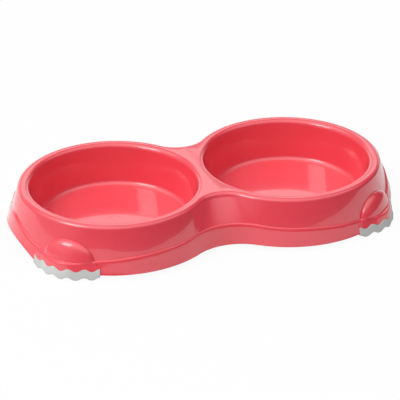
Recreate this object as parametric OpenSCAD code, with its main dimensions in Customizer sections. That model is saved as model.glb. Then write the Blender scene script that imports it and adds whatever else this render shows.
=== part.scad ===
// Double pet bowl: one moulded shell with two round wells, standing on four soft wavy feet.
// Lengths are in millimetres and angles in degrees. +X runs along the two wells, -Y is the
// front and +Z is up. The origin lies on the floor, under the middle of the bridge.
// Angles about a well start at the bowl's long axis, at the end away from the other well.

/* [Wells] */
// Inside diameter of each well at the inner edge of its rim
well_d = 148; // [128:5:188]
// Width of the bridge between the inner edges of the two wells
bridge_w = 14; // [11:1:24]
// Depth of each well, from the crown of the rim to its floor
well_depth = 37; // [25:0.5:38]
// How much the well's radius draws in from the rim to the floor
well_draft = 5; // [1:0.5:10]
// Radius of the fillet between a well's wall and its floor
floor_fillet = 5; // [2:0.5:12]
// Diameter of the round moulding mark in the middle of each floor
mark_d = 11; // [6:1:24]
// Depth of the moulding mark
mark_depth = 0.2; // [0.1:0.1:0.8]

/* [Rim] */
// Width of the rolled rim around each well
rim_w = 11; // [10.5:0.5:14]
// Height of the rim's crown above its outer edge
roll_h = 3; // [2:0.25:4]
// Height of the rim's crown above its inner edge
well_roll_h = 4; // [2:0.25:6]
// Width of the rounding on the rim's inner side
well_roll_w = 4.5; // [3:0.25:6]
// Width of the level land along the crown
crown_land = 2.5; // [0.5:0.25:3]
// How far the rim draws in at the waist, from its widest line
rim_waist_cut = 35; // [30:1:38]

/* [Shell] */
// Height of the whole bowl, from the floor to the crown
bowl_h = 45; // [44:0.5:60]
// Thickness of the moulded walls
wall_t = 2.4; // [1.8:0.1:3]
// Height of the lip above the floor along the sides
lip_h = 20.5; // [18:0.5:24]
// How much lower the lip runs round the middle of each corner
lip_drop = 6; // [1:0.5:7]
// How much higher the lip runs in the middle of each end
lip_rise = 8.5; // [3:0.5:10]
// How far the lip rises at the waist (mm)
waist_rise = 1.8; // [0:0.2:3]
// Reach of the lip past the rim along the sides
lip_side = 7.5; // [5:0.5:9]
// Reach of the lip past the rim at the two ends
lip_end = 6; // [4.5:0.25:7]
// How far the lip draws in at the waist, from its widest line
lip_waist_cut = 25.5; // [24:0.5:32]
// Width of the ledge on top of the lip
ledge_w = 1.4; // [1.2:0.1:2]
// Rounding of the lip's edge
lip_round = 0.6; // [0.4:0.1:1.1]
// How far the wall above the lip bows outwards
wall_bow = 0.3; // [0.1:0.1:0.8]
// Height of the skirt's lower edge above the floor
skirt_gap = 3.8; // [3.6:0.1:5]
// Height of the arch that the skirt's lower edge makes at each end
arch_h = 10.2; // [2:0.2:11]
// Reach of the skirt's lower edge past the rim along the sides
skirt_side = 10.6; // [8:0.2:14]
// Reach of the skirt's lower edge past the rim at the two ends
skirt_end = 10.2; // [8:0.2:12]
// How far the skirt draws in at the waist, from its widest line
skirt_waist_cut = 25.5; // [21:0.5:29]

/* [Corners] */
// Angle of the middle of each corner
toe_angle = 47; // [44:0.5:50]
// Angle that a corner's panel and foot span
toe_span = 40; // [32:1:42]
// Extra reach of the lip in the middle of a corner
toe_lip = 7.8; // [5:0.2:9.6]
// Extra reach of the skirt in the middle of a corner
toe_skirt = 7.2; // [4:0.2:9]
// How far the corner panel stands proud of the skirt
panel_t = 0.8; // [0.6:0.1:1.4]
// How much narrower the corner panel is at the lip, on each side, in degrees
panel_taper = 2.5; // [0:0.5:4]

/* [Knuckles] */
// Angle of the middle of each knuckle
knuckle_angle = 48; // [45:0.5:49]
// Width of the round knuckle on each corner
knuckle_w = 48; // [30:1:50]
// Height of the knuckle above the lip
knuckle_h = 16.3; // [10:0.1:18]
// Width of the shelf left between the knuckle and the lip
knuckle_shelf = 3; // [2:0.25:4]

/* [Feet] */
// Number of waves along each foot
wave_count = 5; // [3:1:7]
// Height of the waves, from crest to hollow
wave_h = 2.4; // [1:0.1:2.8]
// Height of the foot's band up the outside, measured at a crest
band_h = 7.4; // [6.5:0.1:8.5]
// Thickness of the band that lies in the skirt's recess
band_t = 1.6; // [1.4:0.1:1.8]
// How far the band stands proud of the corner panel
band_proud = 0.5; // [0.1:0.1:0.8]
// Width of the sole under the skirt
sole_w = 16; // [14:0.5:20]
// Rounding of the sole's outer edge
sole_round = 0.7; // [0.4:0.1:1.2]
// Diameter of the two pegs that hold each foot
peg_d = 4; // [3:0.5:5]
// Height of the pegs above the sole
peg_h = 7; // [4:0.5:8]
// Distance from the skirt's outline to the middle of a peg
peg_inset = 9.5; // [9:0.25:10.5]
// Angle between a corner's middle and each of its pegs
peg_angle = 9; // [7:0.5:11]
// Wall around each peg's socket
boss_wall = 2; // [1.5:0.1:2.6]
// Clearance between a foot and the shell
foot_fit = 0.1; // [0.05:0.05:0.2]

/* [Hidden] */
$fn = 96;

// Overrun of every cut past the face it opens
cut_over = 1;
// Drop of a recess's inner line beside the feet, which keeps its facets sound
seam_drop = 0.4;

well_r = well_d / 2;
pitch_half = (well_d + bridge_w) / 2;
rim_r = well_r + rim_w;
edge_z = bowl_h - roll_h;
roll_w = rim_w - crown_land - well_roll_w;
well_top_z = bowl_h - well_roll_h;
floor_z = bowl_h - well_depth;
floor_r = well_r - well_draft;
knuckle_z = lip_h - lip_drop;
toe_lo = toe_angle - toe_span / 2;
toe_hi = toe_angle + toe_span / 2;

// Angle at which the outline has turned from an end into a side
end_turn = 30;
// Angle at which the lip has come down from its rise at the ends
rise_half = 36;
// Angles between which the lip rises to its height at the waist
waist_turns = [100, 138];
// Fullness of the arch at each end: 2 is a plain bow, more is flatter on top
arch_power = 2.4;
// Angle past which the outline follows the waist
side_angle = 60;
// Angle at which the waist's own steps begin
waist_angle = 120;
// Half span of the lip's dip and of its bulge at a corner
dip_half = 59;
bulge_half = 20;
// Angle over which the corner panel steps out
step_angle = 0.5;
// Fullness of the skirt's corner bulge: 1 is a plain wave, less is squarer
toe_power = 0.7;
// Angle on the rolled rim's ellipse at which the walls run into it
roll_start = 13;
// Fullness of the knuckles: 0.5 is a plain dome, less is flatter on top
knuckle_power = 0.38;
// Height of the wall's lowest zone where it carries no knuckle
plain_zone_h = 1.6;
// Heights of the wall's rings: 0 is the ledge, 1 the knuckle's crease and 2 the rim
wall_levels = [0, 0.375, 0.695, 0.9, 1, 1.3, 1.65, 2];
hollow_levels = [0, 0.5, 0.88, 1, 1.5, 2];
// Height of the line above the skirt's edge that carries on a recess's top beside it
seam_share = 0.3;
// Steps of the end, the side and the waist in one quarter
outer_steps = [6, 9, 7];
hollow_steps = [4, 5, 5];
// Samples of a corner on each wave, and in the whole hollow
wave_samples = 6;
hollow_samples = 12;
roll_steps = 4;
fillet_steps = 8;
// Share of a wave's height that is cut off to give its crest a level land
land_share = 0.08;

function mix(a, b, t) = a + (b - a) * t;
function smooth(t) = let (c = max(0, min(1, t))) c * c * (3 - 2 * c);
function hump(t) = abs(t) < 1 ? (1 + cos(180 * t)) / 2 : 0;
function inset(plan, t) = plan - [t, t, t];

// One level of the plan: reach at the ends, along the sides and at the waist
rim_plan = [rim_r, rim_r, rim_r - rim_waist_cut];
lip_plan = [rim_r + lip_end, rim_r + lip_side, rim_r + lip_side - lip_waist_cut];
skirt_plan = [rim_r + skirt_end, rim_r + skirt_side, rim_r + skirt_side - skirt_waist_cut];
ledge_plan = inset(lip_plan, ledge_w);

// Radius about the well's centre of the concave arc that joins the two sides at the waist
function waist_radius(side, waist, a) =
    let (arc_r = (pow(pitch_half, 2) + pow(waist, 2) - pow(side, 2)) / (2 * (side - waist)))
    let (arc_y = waist + arc_r)
    let (begins = 90 + atan(pitch_half / arc_y))
    let (along = arc_y * sin(a) - pitch_half * cos(a))
    let (rest = pow(pitch_half, 2) + pow(arc_y, 2) - pow(arc_r, 2))
    a <= begins ? side : along - sqrt(max(0, along * along - rest));

// Plain outline of a level, without the corners' bulges
function plan_radius(plan, a) =
    a < side_angle
        ? mix(plan[0], plan[1], smooth(a / end_turn))
        : waist_radius(plan[1], plan[2], a);

function lip_bulge(a) = toe_lip * hump((a - toe_angle) / bulge_half);
function skirt_bulge(a) = toe_skirt * pow(hump((a - toe_angle) * 2 / toe_span), toe_power);

function lip_z(a) =
    lip_h + lip_rise * hump(a / rise_half) - lip_drop * hump((a - toe_angle) / dip_half)
    + waist_rise * smooth((a - waist_turns[0]) / (waist_turns[1] - waist_turns[0]));
function skirt_z(a) = skirt_gap + arch_h * max(0, 1 - pow(a / toe_lo, arch_power));
function lip_radius(a, t = 0) = plan_radius(inset(lip_plan, t), a) + lip_bulge(a);
function skirt_radius(a, t = 0) = plan_radius(inset(skirt_plan, t), a) + skirt_bulge(a);

// Outside of the skirt at a height between its lower edge and the lip
function side_radius(a, z) =
    mix(lip_radius(a), skirt_radius(a), (lip_z(a) - z) / (lip_z(a) - skirt_z(a)));

// Round knuckle, as its reach past the wall at a height; t shrinks it for the hollow
knuckle_reach =
    lip_radius(toe_angle) + panel_t - knuckle_shelf - plan_radius(ledge_plan, toe_angle);
function across(a, t) = (a - knuckle_angle) / asin((knuckle_w / 2 - t) / lip_plan[1]);
function crease_z(a, t) =
    abs(across(a, t)) < 1 ? knuckle_z + (knuckle_h - t) * sqrt(1 - pow(across(a, t), 2)) : 0;
function knuckle(a, z, t) =
    let (left = 1 - pow(across(a, t), 2) - pow((z - knuckle_z) / (knuckle_h - t), 2))
    left > 0 ? knuckle_reach * pow(left, knuckle_power) : 0;

// Outside of the wall between the ledge and the rim
function zone_z(a, t) = max(crease_z(a, t), lip_z(a) + plain_zone_h);
function wall_z(a, level, t) =
    level < 1
        ? mix(lip_z(a), zone_z(a, t), level)
        : mix(zone_z(a, t), edge_z, level - 1);
function wall_plan(a, z, t) =
    let (up = (z - lip_z(a)) / (edge_z - lip_z(a)))
    inset(mix(ledge_plan, rim_plan, up), t - 4 * wall_bow * up * (1 - up));
function wall_radius(a, level, t = 0) =
    let (z = wall_z(a, level, t))
    plan_radius(wall_plan(a, z, t), a) + knuckle(a, z, t);

// How far a side of the rolled rim has drawn in and risen at a share of its way to the crown
function roll_turn(share) = mix(roll_start, 90, share);
function roll_in(width, share) = width * (1 - cos(roll_turn(share)) / cos(roll_start));
function roll_up(rise, share) =
    rise * (sin(roll_turn(share)) - sin(roll_start)) / (1 - sin(roll_start));

// Shares of a corner's span at which it is sampled, both ends included
function corner_shares(count) = concat([0], [for (i = [1 : count]) (i - 0.5) / count], [1]);
wave_shares = corner_shares(wave_count * wave_samples);
hollow_shares = corner_shares(hollow_samples);

// Angles of one quarter's points. The corner panel narrows towards the lip by the taper.
function corner_angle(share, taper) =
    mix(toe_lo + taper + step_angle, toe_hi - taper - step_angle, share);
function quarter(steps, shares, taper, plan) =
    let (ends = 180 - atan(plan[2] / pitch_half))
    concat(
        [for (i = [0 : steps[0]]) (toe_lo + taper) * i / steps[0]],
        [for (s = shares) corner_angle(s, taper)],
        [for (i = [0 : steps[1]]) mix(toe_hi - taper, waist_angle, i / steps[1])],
        [for (i = [1 : steps[2]]) mix(waist_angle, ends, i / steps[2])]
    );
function outer_quarter(taper, plan) = quarter(outer_steps, wave_shares, taper, plan);

// Whether a point lies on the corner panel
function on_panel(a, taper) = abs(a - toe_angle) < toe_span / 2 - taper - step_angle / 2;

function at(a, r, z) = [pitch_half + r * cos(a), r * sin(a), z];

// A whole ring from one quarter, mirrored at both planes, on which the quarter's ends lie
function whole(q) =
    let (last = len(q) - 1)
    concat(
        [for (i = [0 : last]) [i == last ? 0 : q[i][0], i == 0 ? 0 : q[i][1], q[i][2]]],
        [for (i = [last - 1 : -1 : 0]) [-q[i][0], i == 0 ? 0 : q[i][1], q[i][2]]],
        [for (i = [1 : last]) [i == last ? 0 : -q[i][0], -q[i][1], q[i][2]]],
        [for (i = [last - 1 : -1 : 1]) [q[i][0], -q[i][1], q[i][2]]]
    );

// Closed solid through a stack of quarter rings with as many points each, lowest first
module ring_stack(quarters) {
    rings = [for (q = quarters) whole(q)];
    n = len(rings[0]);
    top = (len(rings) - 1) * n;
    half = n / 2;
    sides = [
        for (i = [0 : len(rings) - 2], j = [0 : n - 1])
            let (a = i * n + j, b = i * n + (j + 1) % n)
            each [[a, a + n, b + n], [a, b + n, b]]
    ];
    under = [
        for (k = [0 : half - 1])
            each [
                if (k > 0) [k, k + 1, n - k],
                if (k < half - 1) [k + 1, n - k - 1, (n - k) % n]
            ]
    ];
    over = [for (f = under) [f[0] + top, f[2] + top, f[1] + top]];
    polyhedron(points = [for (ring = rings) each ring], faces = concat(sides, under, over));
}

// Heights of a foot's edges, with a crest wherever it meets the floor
function hollow_of_wave(a) =
    let (share = (a - corner_angle(0, 0)) / (corner_angle(1, 0) - corner_angle(0, 0)))
    (1 + cos(360 * wave_count * share)) / 2;
function foot_bottom(a) = wave_h * max(0, (hollow_of_wave(a) - land_share) / (1 - land_share));
function foot_top(a) = band_h + wave_h * hollow_of_wave(a);

// Rings of the outside, from the skirt's lower edge up to the rim's crown
function panel(a, taper) = on_panel(a, taper) ? panel_t : 0;
function recess(a) = on_panel(a, 0) ? band_t + foot_fit : 0;
function recess_z(a, inner) =
    on_panel(a, 0)
        ? foot_top(a) + foot_fit
        : mix(skirt_z(a), lip_z(a), seam_share) - (inner ? seam_drop : 0);

function skirt_ring() =
    [for (a = outer_quarter(0, skirt_plan))
        at(a, skirt_radius(a) + panel(a, 0) - recess(a), skirt_z(a))];
function recess_ring(inner) =
    [for (a = outer_quarter(0, skirt_plan))
        let (z = recess_z(a, inner))
        at(a, side_radius(a, z) + panel(a, 0) - (inner ? recess(a) : 0), z)];
function lip_side_ring() =
    [for (a = outer_quarter(panel_taper, lip_plan))
        at(a, lip_radius(a) + panel(a, panel_taper), lip_z(a) - lip_round)];
function lip_top_ring() =
    [for (a = outer_quarter(panel_taper, lip_plan))
        at(a, lip_radius(a) + panel(a, panel_taper) - lip_round, lip_z(a))];
function waist_plan(level, t) = wall_plan(waist_angle, wall_z(waist_angle, level, t), t);
function wall_ring(level) =
    [for (a = outer_quarter(panel_taper, waist_plan(level, 0)))
        at(a, wall_radius(a, level), wall_z(a, level, 0))];
function roll_ring(share) =
    let (plan = inset(rim_plan, roll_in(roll_w, share)))
    [for (a = outer_quarter(panel_taper, plan))
        at(a, plan_radius(plan, a), edge_z + roll_up(roll_h, share))];

module outside() {
    ring_stack(concat(
        [skirt_ring(), recess_ring(true), recess_ring(false), lip_side_ring(), lip_top_ring()],
        [for (level = wall_levels) wall_ring(level)],
        [for (i = [1 : roll_steps]) roll_ring(i / roll_steps)]
    ));
}

// Rings of the hollow under the shell, one wall's thickness inside the outside
function hollow_quarter(plan) = quarter(hollow_steps, hollow_shares, 0, plan);
function hollow_skirt_ring(open) =
    [for (a = hollow_quarter(inset(skirt_plan, wall_t)))
        at(a, skirt_radius(a, wall_t), open ? -cut_over : skirt_z(a))];
function hollow_lip_ring() =
    [for (a = hollow_quarter(inset(lip_plan, wall_t)))
        at(a, lip_radius(a, wall_t), lip_z(a) - wall_t - lip_round)];
function hollow_wall_ring(level) =
    [for (a = hollow_quarter(waist_plan(level, wall_t)))
        at(a, wall_radius(a, level, wall_t),
           wall_z(a, level, wall_t) - (level == 0 ? wall_t : 0))];

module hollow() {
    ring_stack(concat(
        [hollow_skirt_ring(true), hollow_skirt_ring(false), hollow_lip_ring()],
        [for (level = hollow_levels) hollow_wall_ring(level)]
    ));
}

// Half section of a well's space, grown outwards by t to give the cup that holds it
function well_profile(t, rim) =
    let (fillet = floor_fillet + t)
    let (lean = atan(well_draft / (well_top_z - floor_z)))
    let (middle = [floor_r - floor_fillet, floor_z + floor_fillet])
    concat(
        [[0, floor_z - t], [middle[0], floor_z - t]],
        [for (i = [1 : fillet_steps])
            let (turn = (90 - lean) * i / fillet_steps)
            middle + fillet * [sin(turn), -cos(turn)]],
        [[well_r + t, well_top_z]],
        rim,
        [[0, bowl_h + cut_over]]
    );

module well_space() {
    roll = [
        for (i = [1 : 2 * roll_steps])
            let (share = i / (2 * roll_steps))
            [well_r + roll_in(well_roll_w, share), well_top_z + roll_up(well_roll_h, share)]
    ];
    rotate_extrude()
        polygon(well_profile(0, concat(roll, [[well_r + well_roll_w, bowl_h + cut_over]])));
    translate([0, 0, floor_z - mark_depth])
        cylinder(d = mark_d, h = mark_depth + cut_over);
}

module cup() {
    rotate_extrude()
        polygon(well_profile(wall_t, [[well_r + wall_t, bowl_h + cut_over]]));
}

module both_wells() {
    for (side = [-1, 1])
        translate([side * pitch_half, 0, 0])
            children();
}

module all_corners() {
    for (x = [0, 1], y = [0, 1])
        mirror([x, 0, 0])
            mirror([0, y, 0])
                children();
}

// The two pegs of the corner at +X +Y, or the space for them
module pegs(d, z, h) {
    for (side = [-1, 1]) {
        a = toe_angle + side * peg_angle;
        translate(at(a, skirt_radius(a) - peg_inset, z))
            cylinder(d = d, h = h);
    }
}

module bowl_shell() {
    socket_d = peg_d + 2 * foot_fit;
    color([0.95, 0.31, 0.37])
    difference() {
        outside();
        difference() {
            hollow();
            both_wells() cup();
            all_corners() pegs(socket_d + 2 * boss_wall, skirt_gap, bowl_h);
        }
        both_wells() well_space();
        all_corners() pegs(socket_d, skirt_gap - cut_over, peg_h + cut_over + foot_fit);
    }
}

// Section of a foot at one angle: an outer band in the recess and a sole under the skirt
function foot_section(a) =
    let (low = foot_bottom(a))
    let (top = foot_top(a))
    let (sole_z = skirt_gap - foot_fit)
    let (front = panel_t + band_proud)
    let (back = panel_t - band_t)
    [
        at(a, skirt_radius(a) + front - sole_round, low),
        at(a, skirt_radius(a) + front, low + sole_round),
        at(a, side_radius(a, top) + front, top),
        at(a, side_radius(a, top) + back, top),
        at(a, skirt_radius(a) + back, sole_z),
        at(a, skirt_radius(a) - sole_w, sole_z),
        at(a, skirt_radius(a) - sole_w, low)
    ];

// The foot of the corner at +X +Y
module corner_foot() {
    sections = [for (s = wave_shares) foot_section(corner_angle(s, 0))];
    n = len(sections[0]);
    last = (len(sections) - 1) * n;
    sides = [
        for (i = [0 : len(sections) - 2], j = [0 : n - 1])
            let (a = i * n + j, b = i * n + (j + 1) % n)
            each [[a, b, b + n], [a, b + n, a + n]]
    ];
    // The L-shaped ends are cut into triangles round their inner corner
    near_end = [[0, 4, 1], [1, 3, 2], [1, 4, 3], [0, 5, 4], [0, 6, 5]];
    far_end = [for (f = near_end) [f[0] + last, f[2] + last, f[1] + last]];
    peg_root = (wave_h + skirt_gap) / 2;
    polyhedron(points = [for (s = sections) each s], faces = concat(sides, near_end, far_end));
    pegs(peg_d, peg_root, skirt_gap + peg_h - peg_root);
}

module foot(x, y) {
    color([0.73, 0.75, 0.74])
        mirror([x, 0, 0])
            mirror([0, y, 0])
                corner_foot();
}

module foot_front_left() { foot(1, 1); }
module foot_front_right() { foot(0, 1); }
module foot_rear_left() { foot(1, 0); }
module foot_rear_right() { foot(0, 0); }

bowl_shell();
foot_front_left();
foot_front_right();
foot_rear_left();
foot_rear_right();
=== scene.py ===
"""A double pet bowl: one glossy moulded shell with two round wells, on four soft wavy feet.

Lengths of the bowl's form are in millimetres, as a moulder would draw them, and become metres
when a mesh is made. Angles are in degrees about a well's centre. They start on the bowl's long
axis, at the end away from the other well, and grow round the corner to the side and the waist.
"""

import logging
from dataclasses import dataclass, field, replace
from enum import Enum
from math import asin, atan, cos, degrees, radians, sin

import bmesh
import bpy
import numpy as np
from mathutils import Matrix, Vector


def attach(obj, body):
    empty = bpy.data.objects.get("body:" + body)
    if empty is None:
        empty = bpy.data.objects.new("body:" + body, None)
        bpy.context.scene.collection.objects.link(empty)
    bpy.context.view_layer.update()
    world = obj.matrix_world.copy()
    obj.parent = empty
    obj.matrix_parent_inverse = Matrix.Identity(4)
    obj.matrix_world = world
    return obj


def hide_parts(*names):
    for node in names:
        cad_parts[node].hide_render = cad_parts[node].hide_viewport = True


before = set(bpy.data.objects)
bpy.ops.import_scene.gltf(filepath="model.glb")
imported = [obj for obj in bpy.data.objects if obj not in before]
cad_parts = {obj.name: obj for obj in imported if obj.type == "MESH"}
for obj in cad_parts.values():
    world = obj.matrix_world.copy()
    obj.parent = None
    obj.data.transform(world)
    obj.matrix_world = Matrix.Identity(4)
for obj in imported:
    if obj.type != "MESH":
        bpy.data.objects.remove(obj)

LOG = logging.getLogger("pet_bowl")
MM = 0.001
ROOT = "root"
Array = np.ndarray
Values = float | np.ndarray
Section = list[tuple[float, float]]
Tree = bpy.types.NodeTree
Socket = bpy.types.NodeSocket
WHITE = (1.0, 1.0, 1.0, 1.0)

# Turns of a small rounding, and shares of a skirt's height, at which the meshes have rows
QUARTER_TURN = np.radians([0.0, 30.0, 60.0, 90.0])
FINE_TURN = np.radians([0.0, 22.5, 45.0, 67.5, 90.0])
SIDE_SHARES = (0.35, 0.7)


def mix(low: Values, high: Values, share: Values) -> Values:
    """Goes from low to high as share goes from 0 to 1."""
    return low + (high - low) * share


def eased(share: Values) -> Values:
    """Eases a share in and out between 0 and 1."""
    held = np.clip(share, 0.0, 1.0)
    return held * held * (3.0 - 2.0 * held)


def hump(reach: Values) -> Array:
    """Raised cosine that is 1 at zero and 0 from one on, to both sides."""
    away = np.asarray(reach, float)
    return np.where(np.abs(away) < 1.0, (1.0 + np.cos(np.pi * away)) / 2.0, 0.0)


def root_of(value: Values) -> Values:
    """Square root that holds at zero below it."""
    return np.sqrt(np.maximum(0.0, value))


class Joining(Enum):
    """How two values are joined in a node tree."""

    SUM = "ADD"
    PRODUCT = "MULTIPLY"


def joined(tree: Tree, way: Joining, first: Socket, second: Socket | float) -> Socket:
    """Joins two values in a node tree.

    Args:
        tree: The node tree.
        way: Whether they are added or multiplied.
        first: The first value.
        second: The second value, or a constant.

    Returns:
        The joined value.
    """
    node = tree.nodes.new("ShaderNodeMath")
    node.operation = way.value
    tree.links.new(first, node.inputs[0])
    if isinstance(second, float):
        node.inputs[1].default_value = second
    else:
        tree.links.new(second, node.inputs[1])
    return node.outputs["Value"]


@dataclass(frozen=True)
class Reach:
    """Reach of the bowl's outline from a well's centre at one level.

    Attributes:
        end: Reach at the end of the bowl.
        side: Reach along the sides.
        waist: Half width of the bowl at its waist.
        pitch: Half the distance between the wells' centres.
    """

    end: Values
    side: Values
    waist: Values
    pitch: float

    def inset(self, by: Values) -> "Reach":
        """Gives the same outline drawn in by a distance."""
        return replace(self, end=self.end - by, side=self.side - by, waist=self.waist - by)

    def mixed(self, other: "Reach", share: Values) -> "Reach":
        """Gives the outline a share of the way to another one."""
        return replace(
            self,
            end=mix(self.end, other.end, share),
            side=mix(self.side, other.side, share),
            waist=mix(self.waist, other.waist, share),
        )

    def last_angle(self) -> float:
        """Gives the angle at which the outline meets the plane between the wells."""
        return 180.0 - degrees(atan(float(np.ravel(self.waist)[-1]) / self.pitch))

    def radius(self, angle: Array, end_turn: float, side_angle: float) -> Array:
        """Gives the outline's radius, with the concave arc that joins the sides at the waist.

        Args:
            angle: Angles about the well's centre.
            end_turn: Angle at which the end has turned into the side.
            side_angle: Angle past which the outline follows the waist.

        Returns:
            One radius for each angle.
        """
        pitch = self.pitch
        arc_r = (pitch**2 + self.waist**2 - self.side**2) / (2.0 * (self.side - self.waist))
        arc_y = self.waist + arc_r
        begins = 90.0 + np.degrees(np.arctan(pitch / arc_y))
        turn = np.radians(angle)
        along = arc_y * np.sin(turn) - pitch * np.cos(turn)
        rest = pitch**2 + arc_y**2 - arc_r**2
        waisted = np.where(angle <= begins, self.side, along - root_of(along * along - rest))
        ended = mix(self.end, self.side, eased(angle / end_turn))
        return np.where(angle < side_angle, ended, waisted)


@dataclass(frozen=True)
class BowlForm:
    """Sizes and outlines that the shell and its feet share, in millimetres and degrees.

    Attributes:
        well_r: Radius of a well inside its rim.
        pitch: Half the distance between the wells' centres.
        floor_z: Height of the wells' floors.
        well_draft: How much a well's wall draws in on its way down.
        floor_fillet: Radius of the fillet round a well's floor.
        mark_r: Radius of the moulding mark on a floor.
        mark_depth: Depth of that mark.
        height: Height of the rim's crown.
        roll_h: Height of the rim's outer rounding.
        roll_w: Width of the rim's outer rounding.
        inner_roll_h: Height of the rim's inner rounding.
        inner_roll_w: Width of the rim's inner rounding.
        roll_start: Turn at which a rounding begins, where an upright side is at 0.
        rim_r: Radius of the rim's outer edge.
        rim_waist: Half width of the rim at the waist.
        wall: Thickness of the moulding.
        wall_bow: How much the wall bows out halfway up.
        plain_zone: Height of the wall's lower zone beside the knuckles.
        ledge: Width of the ledge between the lip and the wall.
        lip_round: Rounding of the lip's edge.
        lip_end: Reach of the lip at the ends.
        lip_side: Reach of the lip along the sides.
        lip_waist: Half width of the lip at the waist.
        lip_h: Height of the lip along the sides.
        lip_drop: How much lower the lip runs round the corners.
        lip_rise: How much higher the lip runs at the ends.
        waist_rise: How much higher the lip runs at the waist.
        dip_half: Half the angle over which the lip runs lower.
        rise_half: Angle at which the lip has come down from the ends.
        rise_turns: Angles between which the lip rises to the waist.
        skirt_end: Reach of the skirt's lower edge at the ends.
        skirt_side: Reach of the skirt's lower edge along the sides.
        skirt_waist: Half width of the skirt's lower edge at the waist.
        skirt_gap: Height of the skirt's lower edge.
        arch_h: Height of the arch at each end.
        arch_power: Power that gives the arch its shape.
        seam_share: Share of the skirt's height at which a recess's roof is carried on.
        toe: Angle of a corner's middle.
        toe_span: Angle that a corner's panel spans at its foot.
        toe_lip: How far the lip bulges at a corner.
        toe_skirt: How far the skirt's lower edge bulges at a corner.
        toe_power: Power that gives the skirt's bulge its fullness.
        bulge_half: Half the angle over which the lip bulges.
        panel: How far a corner's panel stands proud.
        taper: How much narrower the panel is at the lip, on each side.
        step: Angle by which the panel and the foot stop short of the span, on each side.
        knuckle_angle: Angle of a knuckle's middle.
        knuckle_w: Width of a knuckle.
        knuckle_h: Height of a knuckle over the lip.
        knuckle_power: Power that gives a knuckle its fullness.
        shelf: Width of the shelf between the lip's edge and a knuckle.
        waves: Number of waves along a foot.
        wave_h: Height of the waves.
        land_share: Share of a wave's height that its level crest takes up.
        band_h: Height of a foot's band over a crest.
        band_t: Depth to which the band lies in the panel.
        band_proud: How far the band stands proud of the panel.
        sole_w: Width of the sole under the skirt.
        sole_round: Rounding of the sole's outer edge.
        peg_d: Diameter of a peg.
        peg_top: Height of a peg's top.
        peg_inset: How far inside the skirt a peg stands.
        peg_angle: Angle between a peg and the corner's middle.
        boss_wall: Thickness of the wall round a peg's socket.
        fit: Clearance between a foot and the shell.
        end_turn: Angle at which an end has turned into a side.
        side_angle: Angle past which the outline follows the waist.
        waist_angle: Angle past which the samples lie in the waist.
    """

    well_r: float = 74.0
    pitch: float = 81.0
    floor_z: float = 8.0
    well_draft: float = 5.0
    floor_fillet: float = 5.0
    mark_r: float = 5.5
    mark_depth: float = 0.2
    height: float = 45.0
    roll_h: float = 3.0
    roll_w: float = 4.0
    inner_roll_h: float = 4.0
    inner_roll_w: float = 4.5
    roll_start: float = 13.0
    rim_r: float = 85.0
    rim_waist: float = 50.0
    wall: float = 2.4
    wall_bow: float = 0.3
    plain_zone: float = 1.6
    ledge: float = 1.4
    lip_round: float = 0.6
    lip_end: float = 91.0
    lip_side: float = 92.5
    lip_waist: float = 67.0
    lip_h: float = 20.5
    lip_drop: float = 6.0
    lip_rise: float = 8.5
    waist_rise: float = 1.8
    dip_half: float = 59.0
    rise_half: float = 36.0
    rise_turns: tuple[float, float] = (100.0, 138.0)
    skirt_end: float = 95.2
    skirt_side: float = 95.6
    skirt_waist: float = 70.1
    skirt_gap: float = 3.8
    arch_h: float = 10.2
    arch_power: float = 2.4
    seam_share: float = 0.3
    toe: float = 47.0
    toe_span: float = 40.0
    toe_lip: float = 7.8
    toe_skirt: float = 7.2
    toe_power: float = 0.7
    bulge_half: float = 20.0
    panel: float = 0.8
    taper: float = 2.5
    step: float = 0.5
    knuckle_angle: float = 48.0
    knuckle_w: float = 48.0
    knuckle_h: float = 16.3
    knuckle_power: float = 0.38
    shelf: float = 3.0
    waves: int = 5
    wave_h: float = 2.4
    land_share: float = 0.08
    band_h: float = 7.4
    band_t: float = 1.6
    band_proud: float = 0.5
    sole_w: float = 16.0
    sole_round: float = 0.7
    peg_d: float = 4.0
    peg_top: float = 10.8
    peg_inset: float = 9.5
    peg_angle: float = 9.0
    boss_wall: float = 2.0
    fit: float = 0.1
    end_turn: float = 30.0
    side_angle: float = 60.0
    waist_angle: float = 120.0

    @property
    def edge_z(self) -> float:
        """Height of the rim's two edges."""
        return self.height - self.roll_h

    @property
    def well_top(self) -> float:
        """Height at which a well's wall runs into the rim's inner side."""
        return self.height - self.inner_roll_h

    @property
    def floor_r(self) -> float:
        """Radius to which a well's wall draws in."""
        return self.well_r - self.well_draft

    @property
    def toe_lo(self) -> float:
        """Angle at which a corner's panel begins."""
        return self.toe - self.toe_span / 2.0

    @property
    def toe_hi(self) -> float:
        """Angle at which a corner's panel ends."""
        return self.toe + self.toe_span / 2.0

    @property
    def rim(self) -> Reach:
        """Outline of the rim's outer edge."""
        return Reach(self.rim_r, self.rim_r, self.rim_waist, self.pitch)

    @property
    def lip(self) -> Reach:
        """Outline of the lip round the bowl's middle."""
        return Reach(self.lip_end, self.lip_side, self.lip_waist, self.pitch)

    @property
    def skirt(self) -> Reach:
        """Outline of the skirt's lower edge."""
        return Reach(self.skirt_end, self.skirt_side, self.skirt_waist, self.pitch)

    def plain(self, plan: Reach, angle: Array) -> Array:
        """Gives an outline's radius without the corners' bulges."""
        return plan.radius(angle, self.end_turn, self.side_angle)

    def roll(self, width: float, rise: float, share: float) -> tuple[float, float]:
        """Gives how far one side of the rolled rim has drawn in and risen on its way to the crown.

        Args:
            width: Width of that side.
            rise: Height of that side.
            share: Share of the way, from 0 at its edge to 1 at the crown.

        Returns:
            The distance drawn in and the height risen.
        """
        turn, start = radians(mix(self.roll_start, 90.0, share)), radians(self.roll_start)
        drawn_in = width * (1.0 - cos(turn) / cos(start))
        return drawn_in, rise * (sin(turn) - sin(start)) / (1.0 - sin(start))

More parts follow.
